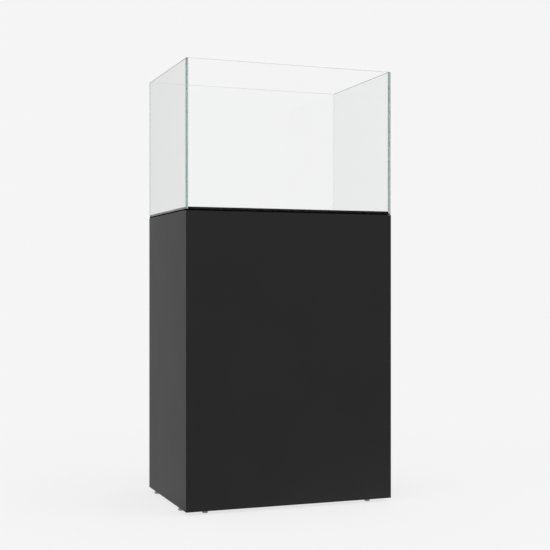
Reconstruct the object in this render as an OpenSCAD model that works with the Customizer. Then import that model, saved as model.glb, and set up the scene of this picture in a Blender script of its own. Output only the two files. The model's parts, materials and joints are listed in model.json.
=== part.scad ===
// Rimless glass aquarium on a tall black cabinet with one full-width door.
// Millimetres. The origin is the middle of the footprint, on the floor.
// The door faces -Y and +Z is up. Modules work from the cabinet's front-left
// bottom corner, and place() moves them to the origin.

/* [Cabinet] */
// Width of the cabinet
cabinet_w = 600; // [400:1:900]
// Depth of the cabinet with its door
cabinet_d = 402; // [300:1:600]
// Height of the cabinet without its feet
cabinet_h = 800; // [500:1:1000]
// Thickness of the side, top and bottom boards
board_t = 18; // [15:0.5:25]
// Thickness of the back panel
back_t = 8; // [5:0.5:12]
// Distance from the rear edges of the boards to the back panel
back_inset = 12; // [6:1:30]
// Depth of the grooves that hold the back panel
groove_depth = 6; // [3:0.5:10]
// Play of the back panel in its grooves
groove_play = 0.2; // [0.1:0.05:0.5]
// Width of each hose cut-out in the back panel
cutout_w = 90; // [50:1:150]
// Height of each hose cut-out
cutout_h = 60; // [40:1:100]
// Corner radius of the hose cut-outs
cutout_r = 15; // [5:1:25]
// Distance of the hose cut-outs from the side boards
cutout_side = 50; // [20:1:100]
// Distance of the hose cut-outs below the top board
cutout_drop = 40; // [20:1:100]
// Radius of the boards' lacquered edges
edge_r = 1; // [0.5:0.1:1.5]

/* [Door] */
// Thickness of the door
door_t = 18; // [17:0.5:25]
// Gap between the closed door and the carcass
shut_gap = 3; // [2.9:0.1:5]
// Gap between the door and the mat above it
door_top_gap = 1; // [0.5:0.1:3]
// Distance from the door's front to the tip of the top board's nose
nose_tip = 2.5; // [1.5:0.1:6]
// Gap between the nose and the bevel in the door, square to both
nose_gap = 1.6; // [1:0.1:3]
// Length of unbevelled door at each end
bevel_stop = 12; // [8:0.5:14]
// Diameter of the door bumpers
bumper_d = 8; // [5:0.5:12]
// Distance of the bumpers from the door's top and bottom
bumper_inset = 50; // [20:1:120]

/* [Hinges] */
// Distance of the outer hinges from the cabinet's top and bottom
hinge_inset = 100; // [70:1:200]
// Distance of the hinge axis from the outer side face
pivot_x = 7.2; // [6:0.1:7.2]
// Distance of the hinge axis from the door's front face
pivot_y = 9.5; // [9.3:0.1:10.5]
// Diameter of the hinge cup
cup_d = 35; // [35:1:40]
// Depth of the hinge cup in the door
cup_depth = 12.5; // [12:0.1:13]
// Wood left between the cup and the door's edge
cup_tab = 3; // [2.5:0.1:3]
// Sheet thickness of the cup
cup_wall = 1; // [0.8:0.1:1]
// Radius round the cup's floor
cup_round = 2.5; // [1.5:0.1:3]
// Thickness of the cup's flange
flange_t = 1.2; // [0.8:0.1:1.5]
// Overhang of the flange round the cup
flange_lip = 1; // [0.4:0.1:1]
// Radius of the flange's screw ears
ear_r = 6; // [5:0.5:7]
// Spacing of the cup's screws
cup_pitch = 45; // [45:1:52]
// Distance of the cup's screws from its centre line, away from the hinge axis
cup_offset = 9.5; // [5.5:0.5:9.5]
// Diameter of the hinge pin
pin_d = 3; // [2.5:0.1:3.1]
// Radial running clearance of the arm on its pin
pin_play = 0.1; // [0.05:0.01:0.1]
// Sheet thickness of the arm
arm_t = 2; // [1.5:0.1:2]
// Inner radius of the arm's bend
arm_bend = 1.5; // [0.8:0.1:2]
// Width of the arm where it turns on the pin
arm_eye_w = 8; // [6:0.5:8]
// Width of the arm over the mounting plate
arm_w = 15; // [13:0.5:18]
// Radius of the corners at the end of the arm
arm_corner = 3; // [1:0.5:5]
// Spacing of the arm's two screws
arm_pitch = 20; // [18:1:24]
// Diameter of the arm's screws
arm_screw_d = 4; // [3.5:0.1:4.5]
// Distance from the carcass front to the end of the arm
arm_reach = 58; // [50:1:80]
// Distance from the carcass front to the plate's screws
plate_setback = 37; // [30:1:45]
// Spacing of the mounting plate's screws
plate_pitch = 32; // [32:1:40]
// Thickness of the mounting plate's wings
plate_t = 2; // [1.5:0.5:2.5]
// Height of the mounting plate's rail
rail_t = 4; // [3.5:0.5:4.5]

/* [Push latch] */
// Height of the latch above the cabinet's bottom
latch_z = 400; // [200:1:600]
// Width of the latch housing, square to the side board
latch_w = 16; // [14:0.5:24]
// Length of the latch housing
latch_l = 60; // [50:1:80]
// Height of the latch housing
latch_h = 20; // [16:1:30]
// Radius of the long edges of the latch housing
latch_r = 5; // [2:0.5:6]
// Spacing of the latch's screws
latch_pitch = 32; // [32:1:50]
// Thickness of the latch's wings
wing_t = 3; // [2:0.5:5]
// Diameter of the plunger
plunger_d = 8; // [6:0.5:10]
// Length of the plunger
plunger_l = 34; // [26:1:38]
// Stroke of the plunger
plunger_stroke = 3; // [2:0.5:5]
// Diameter of the strike plate on the door
strike_d = 18; // [14:1:24]
// Thickness of the strike plate
strike_t = 1.5; // [1:0.1:2]

/* [Tank] */
// Height of the glass walls
tank_h = 400; // [250:1:600]
// Set-back of the tank and mat from the cabinet's faces
tank_inset = 1; // [0:0.5:10]
// Thickness of every pane
glass_t = 6; // [4:0.5:12]
// Chamfer on the polished edges of the panes
arris = 0.5; // [0.2:0.1:1]
// Thickness of the silicone between two panes
bond_t = 1; // [0.5:0.1:2]
// Size of the silicone cove in the inner corners
bead = 1.5; // [1:0.5:6]
// Thickness of the foam mat
mat_t = 3; // [2:0.5:10]

/* [Feet] */
// Height of the feet below the cabinet
foot_h = 9.5; // [8:0.5:30]
// Diameter of a foot's glide
glide_d = 16; // [12:0.5:17]
// Thickness of the glide
glide_t = 4.5; // [3:0.5:5]
// Size across the flats of a foot's nut
nut_flats = 10; // [9:0.5:13]
// Diameter of a foot's stud
stud_d = 6; // [5:0.5:8]
// Length of the stud in the board
stud_l = 9; // [7:0.5:9]
// Distance of the foot axes from the nearest carcass face
foot_edge = 9; // [8.5:0.5:9.5]
// Distance of the foot axes from the corner, along the edge
foot_corner = 61; // [40:1:100]

/* [Fasteners] */
// Diameter of the wood screws
screw_d = 3.5; // [3:0.1:4]
// Length of the wood screws
screw_l = 14; // [10:0.5:15]
// Diameter of the cam locks
cam_d = 15; // [12:0.5:15]
// Height of the cam locks
cam_h = 12.5; // [10:0.5:13]
// Distance from a board's end to the cam's centre
cam_setback = 34; // [24:1:40]
// Distance of the cams from the front and rear of the carcass
cam_inset = 35; // [30:1:40]
// Diameter of the cam bolts' thread in the side boards
bolt_thread_d = 6; // [5:0.5:6]
// Diameter of the cam bolts' shank
bolt_d = 4.4; // [4:0.1:5]
// Diameter of the cam bolts' head
bolt_head_d = 6.6; // [6:0.1:7]
// Diameter of the wooden dowels
dowel_d = 8; // [6:0.5:8]
// Distance of the dowels from the front and rear of the carcass
dowel_inset = 100; // [85:1:140]
// Length of the wooden dowels
dowel_l = 30; // [20:1:34]
// Depth of the dowels and cam bolts in the side boards
side_bite = 11; // [8:0.5:12]
// Radial clearance of pressed-in and screwed-in pieces
fit_play = 0.05; // [0.02:0.01:0.1]

/* [Hidden] */
$fn = 48;
eps = 0.01;
rest_gap = 0.3;                              // air between seated pieces that can part
HINGES = [0, 1, 2];

carcass_y = door_t + shut_gap;               // front edges of the boards
inner_w = cabinet_w - 2 * board_t;           // clear width between the side boards
back_y = cabinet_d - back_inset - back_t;    // front face of the back panel
door_h = cabinet_h - door_top_gap;
bevel_sum = cabinet_h + nose_tip - nose_gap * sqrt(2);  // y + z on the door's bevel

tank_w = cabinet_w - 2 * tank_inset;
tank_d = cabinet_d - 2 * tank_inset;
tank_z = cabinet_h + mat_t;

corner_sweep = norm([pivot_x, door_t - pivot_y]);       // reach of the door's rear corner
cove_r = corner_sweep + 0.36;                           // cove that it turns in
cup_r = cup_d / 2;
cup_x = cup_tab + cup_r - pivot_x;           // cup centre from the hinge axis
cup_top = door_t - pivot_y;                  // rear face of the door from the axis
eye_r = pin_d / 2 + pin_play + 0.9;
flange_top = cup_top + flange_t;
arm_x = board_t + rail_t - pivot_x;          // inner face of the arm's long leg
arm_end = carcass_y + arm_reach - pivot_y;
neck_x = arm_x + arm_t;
arm_box_y = carcass_y + 14 - pivot_y;        // where the arm's folded flanges start
arm_box_x = board_t + plate_t + rest_gap - pivot_x;       // free edges of its flanges
fold_t = arm_t / 2;                          // thickness of the folded flanges
boss_t = 3.2;                                // length of the bosses that hold the pin
boss_z = [arm_eye_w / 2 + rest_gap, arm_eye_w / 2 + rest_gap + boss_t];
plate_y = carcass_y + plate_setback - pivot_y;
arm_screw_y = [plate_y - 0.6 * arm_pitch, plate_y + 0.4 * arm_pitch];
hinge_z = [hinge_inset, cabinet_h / 2, cabinet_h - hinge_inset];
cup_screw_x = cup_x + cup_offset;
cup_screw_z = cup_pitch / 2;

foot_pos = [
    for (x = [foot_corner, cabinet_w - foot_corner])
        for (y = [carcass_y + foot_edge, cabinet_d - foot_edge]) [x, y],
    for (x = [foot_edge, cabinet_w - foot_edge])
        for (y = [carcass_y + foot_corner, cabinet_d - foot_corner]) [x, y]
];
insert_d = stud_d + 3;
joint_y = [carcass_y + cam_inset, cabinet_d - cam_inset];    // cams along each joint
dowel_y = [carcass_y + dowel_inset, cabinet_d - dowel_inset];
bolt_bore_d = bolt_head_d + 1.4;

plunger_x = cabinet_w - board_t - latch_w / 2;
plunger_y = door_t + strike_t + rest_gap;    // front of the magnet tip
latch_y = carcass_y + plunger_stroke + 3;    // front of the housing
magnet_d = plunger_d - 2;
magnet_t = 3;
latch_screw_y = latch_y + latch_l / 2;
latch_screw_z = [latch_z - latch_pitch / 2, latch_z + latch_pitch / 2];

black = [0.13, 0.13, 0.135];
clear_glass = [0.72, 0.80, 0.78, 0.45];

// ---- helpers ----

module place() {
    translate([-cabinet_w / 2, -cabinet_d / 2, foot_h]) children();
}

module box(low, high) {
    translate(low) cube(high - low);
}

// Waste of a rounded corner: the space between a corner at the origin and a circle in it
module cove(r) {
    difference() {
        square(r);
        translate([r, r]) circle(r);
    }
}

// A rectangle with edges of radius r on the corners that are marked, anticlockwise from the origin
module eased(w, h, corners, r = edge_r) {
    difference() {
        square([w, h]);
        for (i = [0:3]) if (corners[i])
            translate([i == 1 || i == 2 ? w : 0, i > 1 ? h : 0]) rotate(90 * i) cove(r);
    }
}

// Outline round two circles, with straight sides that touch both
module taut(p, r1, q, r2) {
    heading = atan2(q[1] - p[1], q[0] - p[0]);
    lean = acos((r1 - r2) / norm(q - p));
    a = [cos(heading + lean), sin(heading + lean)];
    b = [cos(heading - lean), sin(heading - lean)];
    translate(p) circle(r1);
    translate(q) circle(r2);
    polygon([p + r1 * a, p + r1 * b, q + r2 * b, q + r2 * a]);
}

// Extrusions whose drawing lies in the front view (x, z) or the side view (y, z)
module along_y(l) {
    translate([0, l, 0]) rotate([90, 0, 0]) linear_extrude(l) children();
}

module along_x(l) {
    rotate([90, 0, 90]) linear_extrude(l) children();
}

// A cylinder from point p along +X, +Y or +Z
module rod(p, d, l, axis = "z") {
    turn = axis == "x" ? [0, 90, 0] : axis == "y" ? [-90, 0, 0] : [0, 0, 0];
    translate(p) rotate(turn) cylinder(d = d, h = l);
}

// A pan-head wood screw, head on top of z = 0, shank along -Z
module wood_screw(shank = screw_l) {
    head_d = 2 * screw_d;
    translate([0, 0, -shank]) cylinder(d1 = 0.4 * screw_d, d2 = screw_d, h = screw_d);
    translate([0, 0, screw_d - shank]) cylinder(d = screw_d, h = shank - screw_d);
    difference() {
        cylinder(d1 = head_d, d2 = 0.7 * head_d, h = 0.45 * screw_d);
        translate([0, 0, 0.2 * screw_d]) rotate(45) screw_cross();
    }
}

module screw_cross() {
    for (a = [0, 90]) rotate(a)
        translate([-0.6 * screw_d, -0.1 * screw_d, 0]) cube([1.2 * screw_d, 0.2 * screw_d, screw_d]);
}

module pilot(depth = screw_l) {
    translate([0, 0, -depth - fit_play]) cylinder(d = screw_d + 2 * fit_play, h = depth + fit_play + eps);
}

// ---- carcass ----

// Section of a side board. The hinged one has a lip, coved round the hinge axis.
module side_plan(hinged) {
    difference() {
        union() {
            translate([0, carcass_y]) eased(board_t, cabinet_d - carcass_y, [!hinged, true, true, true]);
            if (hinged) translate([0, door_t]) square([pivot_x, carcass_y - door_t + eps]);
        }
        if (hinged) translate([pivot_x, pivot_y]) circle(cove_r);
    }
}

module side_panel(hinged) {
    front = hinged ? door_t : carcass_y;
    difference() {
        intersection() {
            linear_extrude(cabinet_h) side_plan(hinged);
            along_y(cabinet_d) eased(board_t, cabinet_h, [true, false, false, true]);
            translate([0, front, 0]) along_x(board_t)
                eased(cabinet_d - front, cabinet_h, [!hinged, true, true, !hinged]);
        }
        // groove for the back panel
        box([board_t - groove_depth, back_y - groove_play, board_t - groove_depth],
            [board_t + 1, back_y + back_t + groove_play, cabinet_h - board_t + groove_depth]);
        for (z = [board_t / 2, cabinet_h - board_t / 2]) {
            for (y = joint_y) rod([board_t - side_bite, y, z], bolt_thread_d, side_bite + 1, "x");
            for (y = dowel_y)
                rod([board_t - side_bite, y, z], dowel_d + 2 * fit_play, side_bite + 1, "x");
        }
        for (y = [carcass_y + foot_corner, cabinet_d - foot_corner])
            rod([foot_edge, y, -1], insert_d + 2 * fit_play, stud_l + 3);
    }
}

module side_panel_left() color(black) place() difference() {
    side_panel(true);
    for (z = hinge_z) for (s = [-1, 1])
        translate([board_t, pivot_y + plate_y, z + s * plate_pitch / 2]) rotate([0, 90, 0]) pilot();
}

module side_panel_right() color(black) place() difference() {
    translate([cabinet_w, 0, 0]) mirror([1, 0, 0]) side_panel(false);
    for (z = latch_screw_z)
        translate([cabinet_w - board_t, latch_screw_y, z]) rotate([0, -90, 0]) pilot(screw_l - wing_t);
}

// Cam, bolt and dowel bores of a board that lies between the sides; cams open on one face
module joint_bores(z, cam_up) {
    cam_z = cam_up ? z + board_t - cam_h : z - 1;
    for (m = [0, 1]) translate([m * cabinet_w, 0, 0]) mirror([m, 0, 0]) {
        for (y = joint_y) {
            rod([board_t + cam_setback, y, cam_z], cam_d + 2 * fit_play, cam_h + 1);
            rod([board_t - 1, y, z + board_t / 2], bolt_bore_d, cam_setback, "x");
        }
        for (y = dowel_y)
            rod([board_t - 1, y, z + board_t / 2], dowel_d + 2 * fit_play, dowel_l - side_bite + 2, "x");
    }
}

module top_panel() color(black) place() difference() {
    z = cabinet_h - board_t;
    translate([board_t, 0, 0]) along_x(inner_w) difference() {
        polygon([
            [nose_tip, cabinet_h], [nose_tip + board_t, z], [cabinet_d, z], [cabinet_d, cabinet_h]
        ]);
        translate([cabinet_d, z]) rotate(90) cove(edge_r);
        translate([cabinet_d, cabinet_h]) rotate(180) cove(edge_r);
    }
    box([0, back_y - groove_play, z - 1], [cabinet_w, back_y + back_t + groove_play, z + groove_depth]);
    joint_bores(z, false);
}

module bottom_panel() color(black) place() difference() {
    translate([board_t, carcass_y, 0]) along_x(inner_w)
        eased(cabinet_d - carcass_y, board_t, [true, true, true, true]);
    box([0, back_y - groove_play, board_t - groove_depth],
        [cabinet_w, back_y + back_t + groove_play, board_t + 1]);
    joint_bores(0, true);
    for (x = [foot_corner, cabinet_w - foot_corner]) for (y = [carcass_y + foot_edge, cabinet_d - foot_edge])
        rod([x, y, -1], insert_d + 2 * fit_play, stud_l + 3);
}

module rounded_slot(w, h, r, l) {
    for (x = [r, w - r]) for (z = [r, h - r]) rod([x, 0, z], 2 * r, l, "y");
    box([r, 0, 0], [w - r, l, h]);
    box([0, 0, r], [w, l, h - r]);
}

module back_panel() color(black) place() difference() {
    grip = groove_depth - groove_play;
    box([board_t - grip, back_y, board_t - grip],
        [cabinet_w - board_t + grip, back_y + back_t, cabinet_h - board_t + grip]);
    for (x = [board_t + cutout_side, cabinet_w - board_t - cutout_side - cutout_w])
        translate([x, back_y - 1, cabinet_h - board_t - cutout_drop - cutout_h])
            rounded_slot(cutout_w, cutout_h, cutout_r, back_t + 2);
}

module at_joints() {
    for (m = [0, 1]) translate([m * cabinet_w, 0, 0]) mirror([m, 0, 0])
        for (z = [0, cabinet_h - board_t]) translate([board_t, 0, z]) children();
}

module cam_locks() color("silver") place() {
    for (x = [board_t + cam_setback, cabinet_w - board_t - cam_setback]) for (y = joint_y) {
        translate([x, y, board_t - cam_h]) cam();
        translate([x, y, cabinet_h - board_t + cam_h]) mirror([0, 0, 1]) cam();
    }
}

// Cam lock with its crossed slot on top and a window right through for the bolt's head
module cam() {
    difference() {
        cylinder(d = cam_d, h = cam_h - 0.2);
        translate([0, 0, cam_h - screw_d]) rotate(45) screw_cross();
        rod([-cam_d, 0, cam_h - board_t / 2], bolt_head_d + 1, 2 * cam_d, "x");
    }
}

module cam_bolts() color("silver") place() at_joints() for (y = joint_y) {
    head_l = 3.5;
    rod([0.2 - side_bite, y, board_t / 2], bolt_thread_d - 0.2, side_bite - 0.2, "x");
    rod([0, y, board_t / 2], bolt_d, cam_setback - head_l + 1, "x");
    rod([cam_setback - head_l + 0.5, y, board_t / 2], bolt_head_d, head_l, "x");
}

module dowels() color("burlywood") place() at_joints() for (y = dowel_y)
    rod([0.2 - side_bite, y, board_t / 2], dowel_d, dowel_l - 0.4, "x");

// ---- door ----

module door() color(black) place() difference() {
    all = [true, true, true, true];
    intersection() {
        linear_extrude(door_h) eased(cabinet_w, door_t, [true, true, true, false]);
        along_y(door_t) eased(cabinet_w, door_h, all);
        along_x(cabinet_w) eased(door_t, door_h, all);
    }
    translate([bevel_stop, 0, 0]) along_x(cabinet_w - 2 * bevel_stop)
        polygon([
            [bevel_sum - door_h - 1, door_h + 1], [door_t + 1, bevel_sum - door_t - 1],
            [door_t + 1, door_h + 1]
        ]);
    for (z = hinge_z) {
        rod([pivot_x + cup_x, door_t - cup_depth, z], cup_d + 2 * fit_play, cup_depth + 1, "y");
        for (s = [-1, 1])
            translate([pivot_x + cup_screw_x, door_t, z + s * cup_screw_z]) rotate([-90, 0, 0])
                pilot(screw_l - flange_t);
    }
    translate([plunger_x, door_t, latch_z]) rotate([-90, 0, 0]) pilot(screw_l - strike_t);
}

module door_bumpers() color("gainsboro") place()
    for (z = [bumper_inset, cabinet_h - bumper_inset]) translate([cabinet_w - board_t / 2, carcass_y, z])
        rotate([90, 0, 0]) {
            cylinder(d = bumper_d, h = (shut_gap - rest_gap) / 2);
            translate([0, 0, (shut_gap - rest_gap) / 2])
                cylinder(d1 = bumper_d, d2 = 0.6 * bumper_d, h = (shut_gap - rest_gap) / 2);
        }

// ---- hinges: everything is drawn about the hinge axis, cup opening towards +Y ----

module at_hinge(i) {
    place() translate([pivot_x, pivot_y, hinge_z[i]]) children();
}

module cup_well(r, depth, round) {
    rotate([-90, 0, 0]) rotate_extrude() difference() {
        square([r, depth]);
        translate([r, 0]) mirror([1, 0]) cove(round);
    }
}

// Drawn cup with a winged flange, and bosses inside that hold the pin
module hinge_cup(i) color("silver") at_hinge(i) difference() {
    floor_y = cup_top - cup_depth;
    union() {
        difference() {
            union() {
                translate([cup_x, floor_y, 0]) cup_well(cup_r, cup_depth, cup_round);
                translate([0, cup_top, 0]) along_y(flange_t) for (s = [-1, 1])
                    taut([cup_x, 0], cup_r + flange_lip, [cup_screw_x, s * cup_screw_z], ear_r);
            }
            translate([cup_x, floor_y + cup_wall, 0])
                cup_well(cup_r - cup_wall, cup_depth + flange_t, cup_round - cup_wall);
        }
        intersection() {
            translate([cup_x, floor_y, 0]) cup_well(cup_r, cup_depth, cup_round);
            for (s = [0, 1]) mirror([0, 0, s]) translate([0, 0, boss_z[0]])
                linear_extrude(boss_z[1] - boss_z[0]) {
                    circle(eye_r);
                    polygon([
                        [-pivot_x, floor_y], [eye_r, floor_y], [eye_r, 0], [0, eye_r], [-pivot_x, eye_r]
                    ]);
                }
        }
    }
    rod([0, 0, -boss_z[1] - 1], pin_d + 2 * fit_play, 2 * boss_z[1] + 2);
    for (s = [-1, 1]) rod([cup_screw_x, cup_top - 1, s * cup_screw_z], screw_d + 0.2, flange_t + 2, "y");
}

module hinge_pin(i) color("gray") at_hinge(i) rod([0, 0, -boss_z[1]], pin_d, 2 * boss_z[1]);

// The arm seen from above: an eye on the pin, a bend inside the cup and a long leg over the plate
module arm_section() {
    bend = [arm_x - arm_bend, arm_t / 2 + arm_bend];
    circle(eye_r);
    difference() {
        polygon([
            [0, -arm_t / 2], [neck_x, -arm_t / 2], [neck_x, arm_end], [arm_x, arm_end],
            [arm_box_x, arm_end - arm_t], [arm_box_x, arm_box_y + arm_t], [arm_x, arm_box_y],
            [arm_x, bend[1]], bend, [bend[0], arm_t / 2], [0, arm_t / 2]
        ]);
        translate(bend) circle(arm_bend);
        translate([neck_x, -arm_t / 2]) rotate(90) cove(arm_bend + arm_t);
    }
}

// The arm seen from the side: a narrow neck that widens to the channel over the plate
module arm_outline() {
    half = arm_eye_w / 2;
    wide = arm_w / 2;
    neck_end = flange_top + 1;
    difference() {
        polygon([
            [-eye_r - 1, -half], [neck_end, -half], [arm_box_y, -wide], [arm_end, -wide],
            [arm_end, wide], [arm_box_y, wide], [neck_end, half], [-eye_r - 1, half]
        ]);
        translate([arm_end, -wide]) rotate(90) cove(arm_corner);
        translate([arm_end, wide]) rotate(180) cove(arm_corner);
    }
}

// Pressed arm with a hole for the clamp screw and a slot that gives the depth setting
module hinge_arm(i) color("silver") at_hinge(i) difference() {
    hollow = arm_w / 2 - fold_t;
    hole_d = arm_screw_d + 1;
    intersection() {
        translate([0, 0, -arm_w / 2]) linear_extrude(arm_w) arm_section();
        translate([-eye_r - 1, 0, 0]) along_x(neck_x + eye_r + 2) arm_outline();
    }
    box([arm_box_x - 1, arm_box_y - 1, -hollow], [arm_x, arm_end + 1, hollow]);
    translate([0, 0, -arm_w]) cylinder(d = pin_d + 2 * pin_play, h = 2 * arm_w);
    for (y = arm_screw_y) rod([arm_x - 1, y, 0], hole_d, arm_t + 2, "x");
    box([arm_x - 1, arm_screw_y[1], -hole_d / 2], [neck_x + 1, arm_end + 1, hole_d / 2]);
}

// Cross-shaped mounting plate on the side board, with a raised rail for the arm
module hinge_plate(i) color("silver") at_hinge(i) {
    x = board_t - pivot_x;
    rail_half = arm_w / 2 - fold_t - rest_gap;
    rail_over = 2 * arm_screw_d;
    rail_y = [arm_screw_y[0] - rail_over, arm_screw_y[1] + rail_over];
    nose = rail_t - 1;
    difference() {
        union() {
            translate([x, 0, 0]) along_x(plate_t)
                taut([plate_y, -plate_pitch / 2], ear_r, [plate_y, plate_pitch / 2], ear_r);
            intersection() {
                translate([x, 0, 0]) along_x(arm_x - x) translate([rail_y[0], -rail_half])
                    eased(rail_y[1] - rail_y[0], 2 * rail_half, [true, true, true, true], arm_corner);
                translate([0, 0, -rail_half]) linear_extrude(2 * rail_half) polygon([
                    [x, rail_y[0]], [arm_x - nose, rail_y[0]], [arm_x, rail_y[0] + nose],
                    [arm_x, rail_y[1]], [x, rail_y[1]]
                ]);
            }
        }
        for (s = [-1, 1]) rod([x - 1, plate_y, s * plate_pitch / 2], screw_d + 0.2, plate_t + 2, "x");
        for (y = arm_screw_y) rod([x - 1, y, 0], arm_screw_d + 2 * fit_play, rail_t + 2, "x");
    }
}

module hinge_cup_screws() color("silver") for (i = HINGES) at_hinge(i) for (s = [-1, 1])
    translate([cup_screw_x, flange_top, s * cup_screw_z]) rotate([-90, 0, 0]) wood_screw();

module hinge_plate_screws() color("silver") for (i = HINGES) at_hinge(i) for (s = [-1, 1])
    translate([board_t - pivot_x + plate_t, plate_y, s * plate_pitch / 2])
        rotate([0, 90, 0]) wood_screw();

// Machine screws that hold and adjust the arm on its plate
module hinge_arm_screws() color("gray") for (i = HINGES) at_hinge(i)
    for (y = arm_screw_y) {
        head_t = 0.45 * arm_screw_d;
        rod([arm_x - rail_t + 0.2, y, 0], arm_screw_d, rail_t - 0.2 + arm_t, "x");
        translate([neck_x, y, 0]) rotate([0, 90, 0]) difference() {
            cylinder(d = 1.75 * arm_screw_d, h = head_t);
            translate([0, 0, 0.45 * head_t]) rotate(45) screw_cross();
        }
    }

// ---- push latch ----

// Barrel housing with two screw wings, like the hinges' plates
module latch_housing() color("dimgray") place() difference() {
    body_x = cabinet_w - board_t - latch_w;
    collar = 3;
    step = 1;
    union() {
        translate([body_x, latch_y + collar, latch_z - latch_h / 2]) along_y(latch_l - collar)
            eased(latch_w, latch_h, [true, false, false, true], latch_r);
        translate([body_x + step, latch_y, latch_z - latch_h / 2 + step]) along_y(collar + step)
            eased(latch_w - step, latch_h - 2 * step, [true, false, false, true], latch_r - step);
        translate([cabinet_w - board_t - wing_t, 0, 0]) along_x(wing_t)
            taut([latch_screw_y, latch_screw_z[0]], ear_r, [latch_screw_y, latch_screw_z[1]], ear_r);
    }
    rod([plunger_x, latch_y - 1, latch_z], plunger_d + 0.2, plunger_l + plunger_stroke + 1, "y");
    for (z = latch_screw_z)
        rod([cabinet_w - board_t - wing_t - 1, latch_screw_y, z], screw_d + 0.2, wing_t + 2, "x");
}

module latch_plunger() color("gainsboro") place() difference() {
    rod([plunger_x, plunger_y, latch_z], plunger_d, plunger_l, "y");
    rod([plunger_x, plunger_y - 1, latch_z], magnet_d + 2 * fit_play, magnet_t + 1, "y");
}

module latch_magnet() color("silver") place() rod([plunger_x, plunger_y, latch_z], magnet_d, magnet_t, "y");

module latch_screws() color("silver") place() for (z = latch_screw_z)
    translate([cabinet_w - board_t - wing_t, latch_screw_y, z]) rotate([0, -90, 0]) wood_screw();

module strike_plate() color("silver") place() difference() {
    rod([plunger_x, door_t, latch_z], strike_d, strike_t, "y");
    translate([plunger_x, door_t + 0.2, latch_z]) rotate([-90, 0, 0]) {
        cylinder(d1 = screw_d + 0.2, d2 = 2 * screw_d + 0.4, h = strike_t - 0.2 + eps);
        translate([0, 0, -1]) cylinder(d = screw_d + 0.2, h = 1.1);
    }
}

// Countersunk screw, flush with the strike plate
module strike_screw() color("gray") place()
    translate([plunger_x, door_t + strike_t, latch_z]) rotate([-90, 0, 0]) {
        head = strike_t - 0.3;
        difference() {
            translate([0, 0, -head]) cylinder(d1 = screw_d, d2 = 2 * screw_d - 0.2, h = head);
            translate([0, 0, -0.6]) rotate(45) screw_cross();
        }
        translate([0, 0, 0.2 - screw_l]) cylinder(d = screw_d, h = screw_l - head - 0.2);
    }

// ---- feet ----

// Glide, hexagon nut and stud, seated under the board
module foot(i) color("gray") place() translate([foot_pos[i][0], foot_pos[i][1], -foot_h]) {
    chamfer = 1;
    cylinder(d1 = glide_d - 2 * chamfer, d2 = glide_d, h = chamfer);
    translate([0, 0, chamfer]) cylinder(d = glide_d, h = glide_t - chamfer);
    translate([0, 0, glide_t]) cylinder(d = nut_flats / cos(30), h = foot_h - glide_t - 0.2, $fn = 6);
    translate([0, 0, foot_h - 0.2]) cylinder(d = stud_d, h = stud_l);
}

module foot_inserts() color("goldenrod") place() for (p = foot_pos) difference() {
    rod([p[0], p[1], 0], insert_d, stud_l + 1);
    rod([p[0], p[1], -1], stud_d + 0.2, stud_l + 1.5);
}

// ---- tank ----

module tank_place() {
    place() translate([tank_inset, tank_inset, tank_z]) children();
}

module tank_mat() color("black") place()
    box([tank_inset, tank_inset, cabinet_h], [cabinet_w - tank_inset, cabinet_d - tank_inset, tank_z]);

module chamfered(w, h) {
    polygon([
        [arris, 0], [w - arris, 0], [w, arris], [w, h - arris],
        [w - arris, h], [arris, h], [0, h - arris], [0, arris]
    ]);
}

// A pane with a polished arris on every edge
module pane(low, high) {
    s = high - low;
    translate(low) intersection() {
        linear_extrude(s[2]) chamfered(s[0], s[1]);
        along_y(s[1]) chamfered(s[0], s[2]);
        along_x(s[0]) chamfered(s[1], s[2]);
    }
}

side_y = glass_t + bond_t;                   // front edge of the side panes

module front_pane() color(clear_glass) tank_place() pane([0, 0, 0], [tank_w, glass_t, tank_h]);

module rear_pane() color(clear_glass) tank_place()
    pane([0, tank_d - glass_t, 0], [tank_w, tank_d, tank_h]);

module left_pane() color(clear_glass) tank_place()
    pane([0, side_y, 0], [glass_t, tank_d - side_y, tank_h]);

module right_pane() color(clear_glass) tank_place()
    pane([tank_w - glass_t, side_y, 0], [tank_w, tank_d - side_y, tank_h]);

module bottom_pane() color(clear_glass) tank_place()
    pane([side_y, side_y, 0], [tank_w - side_y, tank_d - side_y, glass_t]);

// Bond and cove of one upright corner, drawn for the front left one
module upright_seam() {
    low = glass_t + bead;
    translate([0, glass_t, 0]) {
        cube([glass_t, bond_t, tank_h - arris]);
        translate([glass_t, 0, low]) linear_extrude(tank_h - arris - low) cove(bead);
    }
}

module corner_seam(right, rear) color([0.85, 0.88, 0.88, 0.6]) tank_place()
    translate([right * tank_w, rear * tank_d, 0]) mirror([right, 0, 0]) mirror([0, rear, 0]) upright_seam();

// Black silicone round the bottom pane, between it and the four walls
module seam_bottom() color([0.1, 0.1, 0.1]) tank_place() {
    inner = [tank_w - 2 * glass_t, tank_d - 2 * glass_t];
    translate([glass_t, glass_t, 0]) {
        difference() {
            cube([inner[0], inner[1], glass_t]);
            translate([bond_t, bond_t, -1]) cube([inner[0] - 2 * bond_t, inner[1] - 2 * bond_t, glass_t + 2]);
        }
        translate([0, 0, glass_t]) for (m = [0, 1]) {
            translate([0, m * inner[1], 0]) mirror([0, m, 0]) rotate([90, 0, 90])
                linear_extrude(inner[0]) cove(bead);
            translate([m * inner[0], inner[1], 0]) mirror([m, 0, 0]) rotate([90, 0, 0])
                linear_extrude(inner[1]) cove(bead);
        }
    }
}

// ---- nodes ----

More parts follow.
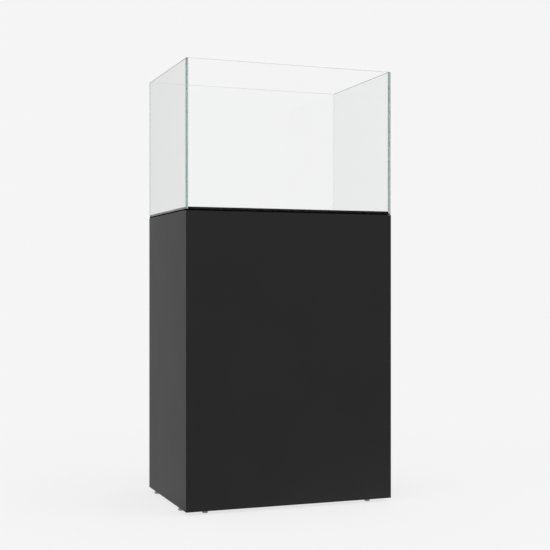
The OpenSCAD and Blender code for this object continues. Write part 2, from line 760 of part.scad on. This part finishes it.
side_panel_left();
side_panel_right();
top_panel();
bottom_panel();
back_panel();
door();
door_bumpers();
cam_locks();
cam_bolts();
dowels();
hinge_cup(0);  // hinge_cup_bottom
hinge_cup(1);  // hinge_cup_middle
hinge_cup(2);  // hinge_cup_top
hinge_pin(0);  // hinge_pin_bottom
hinge_pin(1);  // hinge_pin_middle
hinge_pin(2);  // hinge_pin_top
hinge_arm(0);  // hinge_arm_bottom
hinge_arm(1);  // hinge_arm_middle
hinge_arm(2);  // hinge_arm_top
hinge_plate(0);  // hinge_plate_bottom
hinge_plate(1);  // hinge_plate_middle
hinge_plate(2);  // hinge_plate_top
hinge_cup_screws();
hinge_plate_screws();
hinge_arm_screws();
latch_housing();
latch_plunger();
latch_magnet();
latch_screws();
strike_plate();
strike_screw();
foot(0);  // foot_front_left
foot(1);  // foot_rear_left
foot(2);  // foot_front_right
foot(3);  // foot_rear_right
foot(4);  // foot_left_front
foot(5);  // foot_left_rear
foot(6);  // foot_right_front
foot(7);  // foot_right_rear
foot_inserts();
tank_mat();
front_pane();
rear_pane();
left_pane();
right_pane();
bottom_pane();
corner_seam(0, 0);  // seam_front_left
corner_seam(1, 0);  // seam_front_right
corner_seam(0, 1);  // seam_rear_left
corner_seam(1, 1);  // seam_rear_right
seam_bottom();
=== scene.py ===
"""Looks of the rimless aquarium on its black cabinet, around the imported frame."""

import json
import math

import bmesh
import bpy
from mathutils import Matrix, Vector, noise


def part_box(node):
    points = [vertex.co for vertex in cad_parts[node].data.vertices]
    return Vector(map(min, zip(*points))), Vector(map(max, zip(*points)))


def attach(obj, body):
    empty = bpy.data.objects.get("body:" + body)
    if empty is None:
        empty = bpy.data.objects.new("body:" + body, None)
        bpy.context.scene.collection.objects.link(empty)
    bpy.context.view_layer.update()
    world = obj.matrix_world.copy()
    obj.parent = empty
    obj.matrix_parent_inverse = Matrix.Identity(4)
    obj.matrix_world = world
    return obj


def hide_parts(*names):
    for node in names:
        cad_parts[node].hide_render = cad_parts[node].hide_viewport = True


PALE = 0.913            # linear value of the pale background
AMBIENT = 0.62          # light from all round on matt surfaces
THROUGH_GLASS = 1.024   # makes up for what two panes reflect away
STUDIO_LEFT = 0.585     # what gloss sees to the left, beside what it sees behind the object
STUDIO_FRONT = 0.38     # the same for what lies in front
GLASS_LEFT = 0.68       # what light mirrored inside glass sees to the left
CLEAR_SILICONE = (0.96, 0.965, 0.965, 1.0)
MM = 0.001              # the frame is in metres

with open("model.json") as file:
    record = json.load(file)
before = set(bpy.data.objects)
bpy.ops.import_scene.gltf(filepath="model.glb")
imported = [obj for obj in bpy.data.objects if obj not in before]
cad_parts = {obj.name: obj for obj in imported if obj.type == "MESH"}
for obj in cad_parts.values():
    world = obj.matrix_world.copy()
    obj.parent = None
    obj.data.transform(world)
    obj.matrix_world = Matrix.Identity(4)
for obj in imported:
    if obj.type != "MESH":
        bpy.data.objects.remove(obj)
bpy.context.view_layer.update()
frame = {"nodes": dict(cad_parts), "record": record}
nodes = frame["nodes"]

# The tank is centred on the origin: half sizes and heights of what the seams join
PANE_LOW, PANE_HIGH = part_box("front_pane")
GLASS_T = PANE_HIGH[1] - PANE_LOW[1]
OUTER_X = PANE_HIGH[0]
OUTER_Y = -PANE_LOW[1]
INNER_X = OUTER_X - GLASS_T
INNER_Y = OUTER_Y - GLASS_T
BOND = INNER_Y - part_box("left_pane")[1][1]
BASE = PANE_LOW[2]
BASE_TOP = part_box("bottom_pane")[1][2]
RIM = PANE_HIGH[2]
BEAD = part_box("seam_front_left")[1][0] + INNER_X


# ---- material helpers ----

class Shader:
    """A node tree that is filled by short calls."""

    def __init__(self, owner):
        owner.use_nodes = True
        self.tree = owner.node_tree
        self.tree.nodes.clear()

    def add(self, kind, **settings):
        node = self.tree.nodes.new(kind)
        for name, value in settings.items():
            setattr(node, name, value)
        return node

    def link(self, source, target):
        self.tree.links.new(source, target)

    def put(self, value, socket):
        """A socket takes a number, a colour or another socket."""
        if isinstance(value, bpy.types.NodeSocket):
            self.link(value, socket)
        else:
            socket.default_value = value

    def math(self, operation, a, b=0.0):
        node = self.add("ShaderNodeMath", operation=operation)
        for value, socket in zip((a, b), node.inputs):
            self.put(value, socket)
        return node.outputs[0]

    def span(self, value, from_low, from_high, to_low, to_high, smooth=False):
        node = self.add("ShaderNodeMapRange")
        if smooth:
            node.interpolation_type = "SMOOTHSTEP"
        for item, socket in zip((value, from_low, from_high, to_low, to_high), node.inputs):
            self.put(item, socket)
        return node.outputs[0]

    def pick(self, switch, off, on):
        """One of two numbers, by a switch of 0 or 1."""
        node = self.add("ShaderNodeMix")
        for item, socket in zip((switch, off, on), (node.inputs[0], node.inputs[2], node.inputs[3])):
            self.put(item, socket)
        return node.outputs[0]

    def noise(self, place, scale, detail=3.0, roughness=0.5):
        node = self.add("ShaderNodeTexNoise")
        self.link(place, node.inputs["Vector"])
        node.inputs["Scale"].default_value = scale
        node.inputs["Detail"].default_value = detail
        node.inputs["Roughness"].default_value = roughness
        return node.outputs["Fac"]

    def stretch(self, place, scale):
        node = self.add("ShaderNodeMapping")
        self.link(place, node.inputs["Vector"])
        node.inputs["Scale"].default_value = scale
        return node.outputs["Vector"]

    def shades(self, value, dark, light):
        """A colour between two triples or sockets, by a value of 0 to 1."""
        node = self.add("ShaderNodeMix", data_type="RGBA")
        self.put(value, node.inputs["Factor"])
        for colour, socket in ((dark, node.inputs["A"]), (light, node.inputs["B"])):
            self.put((*colour, 1.0) if isinstance(colour, tuple) else colour, socket)
        return node.outputs["Result"]

    def axis(self, vector, name):
        """One axis of a vector."""
        node = self.add("ShaderNodeSeparateXYZ")
        self.link(vector, node.inputs[0])
        return node.outputs[name]

    def bump(self, height, distance, strength):
        node = self.add("ShaderNodeBump")
        self.link(height, node.inputs["Height"])
        node.inputs["Distance"].default_value = distance
        node.inputs["Strength"].default_value = strength
        return node.outputs["Normal"]

    def principled(self, **inputs):
        node = self.add("ShaderNodeBsdfPrincipled")
        for name, value in inputs.items():
            self.put(value, node.inputs[name.replace("_", " ")])
        return node.outputs["BSDF"]

    def mix(self, factor, first, second):
        node = self.add("ShaderNodeMixShader")
        self.put(factor, node.inputs[0])
        self.link(first, node.inputs[1])
        self.link(second, node.inputs[2])
        return node.outputs[0]

    def transparent(self, colour):
        node = self.add("ShaderNodeBsdfTransparent")
        node.inputs["Color"].default_value = colour
        return node.outputs[0]

    def emission(self, value):
        node = self.add("ShaderNodeEmission")
        node.inputs["Color"].default_value = (1.0, 1.0, 1.0, 1.0)
        self.put(value, node.inputs["Strength"])
        return node.outputs[0]

    def output(self, surface, volume=None):
        node = self.add("ShaderNodeOutputMaterial")
        self.link(surface, node.inputs["Surface"])
        if volume is not None:
            self.link(volume, node.inputs["Volume"])


def new_material(name):
    material = bpy.data.materials.new(name)
    return material, Shader(material)


def place_of(shader):
    """The point in the row frame: CAD nodes and pieces have their place in their meshes."""
    return shader.add("ShaderNodeTexCoord").outputs["Object"]


# ---- materials ----

def black_board(name):
    """Matt black lacquer over board: fine orange peel, faint cloudiness."""
    material, s = new_material(name)
    place = place_of(s)
    cloud = s.noise(place, 5.0, 4.0)
    grain = s.noise(place, 900.0, 2.0)
    peel = s.noise(place, 260.0, 2.0)
    tone = s.span(cloud, 0.3, 0.7, 0.0, 1.0)
    colour = s.shades(tone, (0.0102, 0.0102, 0.0103), (0.0126, 0.0126, 0.0127))
    rough = s.math("ADD", s.span(cloud, 0.3, 0.7, 0.42, 0.46), s.span(grain, 0.3, 0.7, -0.02, 0.02))
    height = s.math("ADD", s.math("MULTIPLY", grain, 0.4), peel)
    s.output(s.principled(
        Base_Color=colour, Roughness=rough, Specular_IOR_Level=0.46,
        Normal=s.bump(height, 0.04 * MM, 0.6),
    ))
    return material


def glass():
    """Low-iron float glass that lets light and shadow rays straight through."""
    material, s = new_material("low_iron_glass")
    path = s.add("ShaderNodeLightPath")
    body = s.add("ShaderNodeBsdfGlass")
    body.inputs["Color"].default_value = (0.9998, 0.999, 0.9988, 1.0)
    body.inputs["Roughness"].default_value = 0.0
    body.inputs["IOR"].default_value = 1.51
    straight = s.math("MAXIMUM", path.outputs["Is Shadow Ray"], path.outputs["Is Diffuse Ray"])
    surface = s.mix(straight, body.outputs[0], s.transparent((0.96, 0.97, 0.965, 1.0)))
    absorb = s.add("ShaderNodeVolumeAbsorption")
    absorb.inputs["Color"].default_value = (0.43, 0.60, 0.59, 1.0)
    absorb.inputs["Density"].default_value = 3.7
    s.output(surface, absorb.outputs[0])
    return material


def silicone():
    """Clear silicone: see-through head on, a little gloss at a flat angle."""
    material, s = new_material("clear_silicone")
    gloss = s.principled(Base_Color=(0.8, 0.84, 0.84, 1.0), Roughness=0.25)
    fresnel = s.add("ShaderNodeFresnel")
    fresnel.inputs["IOR"].default_value = 1.2
    share = s.math("MULTIPLY", fresnel.outputs[0], 0.2)
    s.output(s.mix(share, s.transparent(CLEAR_SILICONE), gloss))
    return material


def base_silicone():
    """Silicone round the bottom pane: black in the joint, its bead above run in clear."""
    material, s = new_material("base_silicone")
    clear = s.transparent(CLEAR_SILICONE)
    dark = s.principled(Base_Color=(0.004, 0.004, 0.004, 1.0), Roughness=0.6, Specular_IOR_Level=0.0)
    over = s.math("GREATER_THAN", s.axis(place_of(s), "Z"), BASE_TOP + 0.05 * MM)
    s.output(s.mix(over, dark, clear))
    return material


def foam():
    """Closed-cell black foam with fine cells: its upright edges are painted darker, as painted shade under
    the tank, and its flat faces a lighter pebbled grey, as painted light.
    """
    material, s = new_material("foam_mat")
    place = place_of(s)
    cells = s.add("ShaderNodeTexVoronoi", feature="F1")
    s.link(place, cells.inputs["Vector"])
    cells.inputs["Scale"].default_value = 1100.0
    cell = cells.outputs["Distance"]
    # painted shade: the upright edges take a darker colour than the flat faces, for the shade under the
    # tank
    shaded_edge_colour = s.shades(cell, (0.0025, 0.0025, 0.0025), (0.006, 0.006, 0.006))
    worn = s.span(s.noise(place, 14.0, 5.0, 0.6), 0.35, 0.65, -0.14, 0.14)
    # painted light: the flat faces take a lighter grey, with random tone and the cells in it
    lit_face_colour = s.shades(s.math("ADD", worn, cell), (0.016, 0.016, 0.0165), (0.036, 0.036, 0.037))
    # mask of the flat faces, which get the painted-lit colour, while the upright edges get the painted
    # shade
    upward = s.axis(s.add("ShaderNodeTexCoord").outputs["Normal"], "Z")
    lit_face_mask = s.math("GREATER_THAN", s.math("ABSOLUTE", upward), 0.999)
    s.output(s.principled(
        Base_Color=s.shades(lit_face_mask, shaded_edge_colour, lit_face_colour), Roughness=1.0, Specular_IOR_Level=0.0,
        Normal=s.bump(cell, 0.3 * MM, 0.8),
    ))
    return material


def moulded(name, dark, light, rough=0.5):
    """Moulded plastic with a fine spark-eroded texture."""
    material, s = new_material(name)
    place = place_of(s)
    spark = s.noise(place, 2200.0, 2.0)
    cloud = s.noise(place, 60.0)
    s.output(s.principled(
        Base_Color=s.shades(cloud, dark, light),
        Roughness=s.span(spark, 0.3, 0.7, rough - 0.05, rough + 0.05),
        Normal=s.bump(spark, 0.04 * MM, 0.6),
    ))
    return material


def plated(name, dark, light, rough):
    """Plated or cast metal, faintly cloudy and grained."""
    material, s = new_material(name)
    place = place_of(s)
    fine = s.noise(place, 1500.0, 3.0)
    cloud = s.noise(place, 90.0)
    broad = s.span(cloud, 0.3, 0.7, rough - 0.04, rough + 0.04)
    s.output(s.principled(
        Base_Color=s.shades(cloud, dark, light), Metallic=1.0,
        Roughness=s.math("ADD", broad, s.span(fine, 0.3, 0.7, -0.015, 0.015)),
        Normal=s.bump(fine, 0.002 * MM, 0.4),
    ))
    return material


def beech():
    material, s = new_material("beech_dowel")
    place = s.stretch(place_of(s), (40.0, 600.0, 600.0))
    grain = s.noise(place, 1.5, 4.0, 0.6)
    s.output(s.principled(
        Base_Color=s.shades(grain, (0.42, 0.27, 0.14), (0.66, 0.47, 0.29)), Roughness=0.7,
        Normal=s.bump(grain, 0.2 * MM, 0.5),
    ))
    return material


def soft_clear():
    """Clear polyurethane of the door bumpers."""
    material, s = new_material("clear_bumper")
    place = place_of(s)
    s.output(s.principled(
        Base_Color=s.shades(s.noise(place, 300.0), (0.62, 0.62, 0.60), (0.72, 0.72, 0.70)),
        Roughness=0.3, Transmission_Weight=0.6, IOR=1.48,
        Normal=s.bump(s.noise(place, 500.0), 0.1 * MM, 0.4),
    ))
    return material


def give(material, names):
    """Every slot of these CAD nodes takes this material."""
    for name in names:
        mesh = nodes[name].data
        mesh.materials.clear()
        mesh.materials.append(material)


def dress_cad():
    """The material of every CAD node, by its slot in the record."""
    by_slot = {}
    for part in frame["record"]["subparts"]:
        by_slot.setdefault(part["material_slot"], []).append(part["node"])
    looks = {
        "cabinet_board": black_board("black_board"),
        "door_board": black_board("black_door"),
        "clear_glass": glass(),
        "silicone": silicone(),
        "base_silicone": base_silicone(),
        "foam_mat": foam(),
        "nickel_steel": plated("nickel_plate", (0.50, 0.48, 0.45), (0.62, 0.60, 0.56), 0.24),
        "zinc_steel": plated("zinc_plate", (0.46, 0.47, 0.50), (0.58, 0.60, 0.62), 0.32),
        "zinc_casting": plated("cast_zinc", (0.32, 0.32, 0.34), (0.44, 0.44, 0.46), 0.48),
        "brass": plated("turned_brass", (0.55, 0.38, 0.16), (0.70, 0.52, 0.25), 0.3),
        "magnet_steel": plated("magnet_face", (0.50, 0.50, 0.52), (0.60, 0.60, 0.62), 0.2),
        "beech": beech(),
        "clear_rubber": soft_clear(),
        "grey_plastic": moulded("latch_grey", (0.10, 0.10, 0.11), (0.13, 0.13, 0.14)),
        "pale_plastic": moulded("latch_pale", (0.55, 0.55, 0.54), (0.63, 0.63, 0.62)),
        # the feet are mid-grey, painted lighter than their own grey to make up for the shade under the
        # cabinet
        "foot_grey": moulded("foot_grey", (0.33, 0.33, 0.33), (0.40, 0.40, 0.40)),
    }
    for slot, names in by_slot.items():
        give(looks[slot], names)


# ---- pieces ----

def make_mat():
    """The foam mat: the tank's weight presses it in, and its soft rim swells up round the glass."""
    low, high = (Vector(corner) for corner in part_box("tank_mat"))
    press = 0.05 * MM
    swell = 0.3 * MM
    lip = 0.6 * MM
    corner = 3.0 * MM
    profile = [                                # distance outwards and height, from the bottom up
        (-1.0 * MM, low.z), (0.0, low.z + 0.4 * MM), (swell, low.z + 1.5 * MM), (swell, high.z),
        (0.7 * swell, high.z + 0.8 * lip), (0.2 * swell, high.z + lip), (-0.1 * swell, high.z + 0.9 * lip),
        (-lip, high.z + press),
    ]
    rings = [rounded_ring(high.x + out, high.y + out, corner + out, z) for out, z in profile]
    mesh = skin("foam_mat_cut", rings, closed=False)
    new_piece("foam_mat_cut", mesh, foam(), "cabinet", "tank_mat")


def rounded_ring(half_x, half_y, radius, z, steps=8):
    """Points of a rectangle with round corners about the origin, anticlockwise."""
    points = []
    for quarter, (cx, cy) in enumerate([(1, 1), (-1, 1), (-1, -1), (1, -1)]):
        for step in range(steps + 1):
            turn = math.pi / 2 * (quarter + step / steps)
            points.append((
                cx * (half_x - radius) + radius * math.cos(turn),
                cy * (half_y - radius) + radius * math.sin(turn), z,
            ))
    return points


def new_piece(name, mesh, material, body, node):
    """A detailed piece that stands for a CAD node and rides on its body."""
    mesh.materials.append(material)
    piece = bpy.data.objects.new(name, mesh)
    bpy.context.scene.collection.objects.link(piece)
    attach(piece, body)
    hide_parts(node)


def tooled(place, seed):
    """Width of a bead that a finger drew: it swells and thins a little along its length."""
    return BEAD * (0.95 + 0.04 * noise.noise(Vector((place * 14.0, seed, 0.0))))


def bead_arc(width, gap, steps=8):
    """Hollow quarter round from the first wall to the second, as distances from the two walls."""
    span = width - gap
    return [
        (width - span * math.sin(turn), width - span * math.cos(turn))
        for turn in (0.5 * math.pi * step / steps for step in range(steps + 1))
    ]


def skin(name, rings, closed):
    """A mesh over rings of points, capped at its ends or closed on itself."""
    count = len(rings[0])
    faces = []
    for k in range(len(rings) - (0 if closed else 1)):
        here, there = k * count, (k + 1) % len(rings) * count
        for i in range(count):
            after = (i + 1) % count
            faces.append((here + i, here + after, there + after, there + i))
    if not closed:
        last = (len(rings) - 1) * count
        faces += [tuple(range(count))[::-1], tuple(range(last, last + count))]
    mesh = bpy.data.meshes.new(name)
    mesh.from_pydata([point for ring in rings for point in ring], [], faces)
    form = bmesh.new()
    form.from_mesh(mesh)
    bmesh.ops.recalc_face_normals(form, faces=form.faces)
    form.to_mesh(mesh)
    form.free()
    return mesh


def make_upright_seam(side, end, name, material):
    """Bond between two panes at an upright corner, with its bead inside the tank."""
    gap = 0.03 * MM
    recess = 0.3 * MM
    low, high = BASE_TOP + BEAD, RIM - 0.6 * MM
    steps = 60
    rings = []
    for k in range(steps + 1):
        z = low + (high - low) * k / steps
        width = tooled(z, 3.0 * side + end)
        outline = [(OUTER_X - recess, INNER_Y - gap)]
        outline += [(INNER_X - across, INNER_Y - along) for across, along in bead_arc(width, gap)]
        outline += [(INNER_X - gap, INNER_Y - BOND + gap), (OUTER_X - recess, INNER_Y - BOND + gap)]
        rings.append([(side * x, end * y, z) for x, y in outline])
    mesh = skin(name, rings, closed=False)
    new_piece(name, mesh, material, "tank", "seam_" + name.split("silicone_")[1])


def make_base_seam(material):
    """Bond round the bottom pane with a bead above it, mitred at the corners."""
    gap = 0.03 * MM
    wet = 0.03 * MM     # the front and rear panes are wetted, the side ones keep a film of air
    foot = BASE + 0.1 * MM
    corners = [(-1, -1), (1, -1), (1, 1), (-1, 1)]
    steps = 30
    rings = []
    for k, (cx, cy) in enumerate(corners):
        nx, ny = corners[(k + 1) % 4]
        for step in range(steps):
            t = step / steps
            x = INNER_X * (cx + (nx - cx) * t)
            y = INNER_Y * (cy + (ny - cy) * t)
            width = tooled(x + 2.0 * y, 7.0)
            inward_x = -cx if step == 0 or cx == nx else 0
            inward_y = -cy if step == 0 or cy == ny else 0
            touch = -wet if inward_y else gap
            outline = [(touch, foot), (BOND - gap, foot), (BOND - gap, BASE_TOP + gap)]
            outline += [(off, BASE_TOP + up) for off, up in bead_arc(width, gap)]
            outline += [(gap, BASE_TOP + 3.0 * gap), (touch, BASE_TOP)]
            rings.append([(x + inward_x * off, y + inward_y * off, z) for off, z in outline])
    mesh = skin("silicone_base", rings, closed=True)
    new_piece("silicone_base", mesh, material, "tank", "seam_bottom")


def make_seams():
    material = silicone()
    for end_name, end in (("front", -1), ("rear", 1)):
        for side_name, side in (("left", -1), ("right", 1)):
            make_upright_seam(side, end, f"silicone_{end_name}_{side_name}", material)
    make_base_seam(base_silicone())


# ---- stage ----

def mirrored(s):
    """1 for a ray that gloss or glass has mirrored, 0 for one that only went through glass."""
    path = s.add("ShaderNodeLightPath")
    after_a_mirror = s.math("GREATER_THAN", path.outputs["Glossy Depth"], 0.5)
    return s.math("MULTIPLY", path.outputs["Is Glossy Ray"], after_a_mirror)


def studio_level(s, where, across, along):
    """What gloss sees: dimmer to the left and, but for rays from inside glass, dimmer in front.

    The dimming fades out over the two ranges of X and Y, of a floor point or of a direction."""
    path = s.add("ShaderNodeLightPath")
    inside = s.math("GREATER_THAN", path.outputs["Transmission Depth"], 0.5)
    left = s.pick(inside, STUDIO_LEFT, GLASS_LEFT)
    side = s.span(s.axis(where, "X"), *across, left, 1.0, smooth=True)
    depth = s.span(s.axis(where, "Y"), *along, STUDIO_FRONT, 1.0, smooth=True)
    depth = s.pick(inside, depth, THROUGH_GLASS)
    return s.math("MULTIPLY", s.math("MULTIPLY", side, depth), PALE)


def make_floor():
    """A pale floor that keeps a soft shadow near the object and fades into the backdrop."""
    near, far = 0.9, 1.8        # the shadow fades out between these distances from the middle
    half = 60.0
    shadow_share = 0.18
    mesh = bpy.data.meshes.new("floor")
    corners = [(-half, -half, 0), (half, -half, 0), (half, half, 0), (-half, half, 0)]
    mesh.from_pydata(corners, [], [(0, 1, 2, 3)])
    floor = bpy.data.objects.new("floor", mesh)
    bpy.context.scene.collection.objects.link(floor)
    material, s = new_material("pale_floor")
    length = s.add("ShaderNodeVectorMath", operation="LENGTH")
    s.link(place_of(s), length.inputs[0])
    fade = s.span(length.outputs["Value"], near, far, shadow_share, 0.0, smooth=True)
    matt = s.principled(Base_Color=(PALE, PALE, PALE, 1.0), Roughness=1.0, Specular_IOR_Level=0.0)
    seen = s.mix(fade, s.emission(PALE), matt)
    studio = s.emission(studio_level(s, place_of(s), across=(-0.5, 0.2), along=(-0.6, 0.3)))
    s.output(s.mix(mirrored(s), seen, studio))
    mesh.materials.append(material)


def make_world():
    """A pale backdrop where the camera, glass and gloss look, with a dimmer studio round it."""
    world = bpy.data.worlds.new("studio")
    bpy.context.scene.world = world
    s = Shader(world)
    path = s.add("ShaderNodeLightPath")
    direction = s.add("ShaderNodeTexCoord").outputs["Generated"]
    studio = studio_level(s, direction, across=(-0.22, 0.06), along=(-0.3, 0.5))
    strength = s.pick(path.outputs["Is Transmission Ray"], AMBIENT, PALE * THROUGH_GLASS)
    strength = s.pick(mirrored(s), strength, studio)
    strength = s.pick(path.outputs["Is Camera Ray"], strength, PALE)
    background = s.add("ShaderNodeBackground")
    background.inputs["Color"].default_value = (1.0, 1.0, 1.0, 1.0)
    s.link(strength, background.inputs["Strength"])
    output = s.add("ShaderNodeOutputWorld")
    s.link(background.outputs[0], output.inputs["Surface"])


def soft_lamp(name, place, target, size, power):
    data = bpy.data.lights.new(name, "AREA")
    data.shape = "SQUARE"
    data.size = size
    data.energy = power
    lamp = bpy.data.objects.new(name, data)
    bpy.context.scene.collection.objects.link(lamp)
    lamp.location = place
    lamp.rotation_euler = (Vector(target) - Vector(place)).to_track_quat("-Z", "Y").to_euler()
    lamp.visible_glossy = False
    lamp.visible_camera = False
    lamp.visible_transmission = False


def make_lamps():
    middle = (0.0, 0.0, 0.6)
    soft_lamp("overhead", (0.3, -0.6, 4.2), middle, 3.0, 70.0)
    soft_lamp("left_soft", (-3.2, -1.2, 2.2), middle, 2.4, 18.0)
    soft_lamp("right_soft", (3.0, -2.0, 2.4), middle, 2.4, 12.0)


def make_camera():
    data = bpy.data.cameras.new("camera")
    data.sensor_width = 36.0
    data.lens = 73.236
    data.shift_y = 0.01695
    camera = bpy.data.objects.new("camera", data)
    bpy.context.scene.collection.objects.link(camera)
    camera.location = (-1.1045, -3.052, 0.6127)
    camera.rotation_euler = (math.radians(90.0), 0.0, math.radians(-20.303))
    bpy.context.scene.camera = camera


make_camera()
make_world()
make_lamps()
make_floor()
dress_cad()
make_mat()
make_seams()

cycles = bpy.context.scene.cycles
cycles.max_bounces = 128            # light zigzags along a pane before it leaves
cycles.glossy_bounces = 128
cycles.transmission_bounces = 128
cycles.transparent_max_bounces = 64
bpy.context.scene.view_settings.view_transform = "Standard"
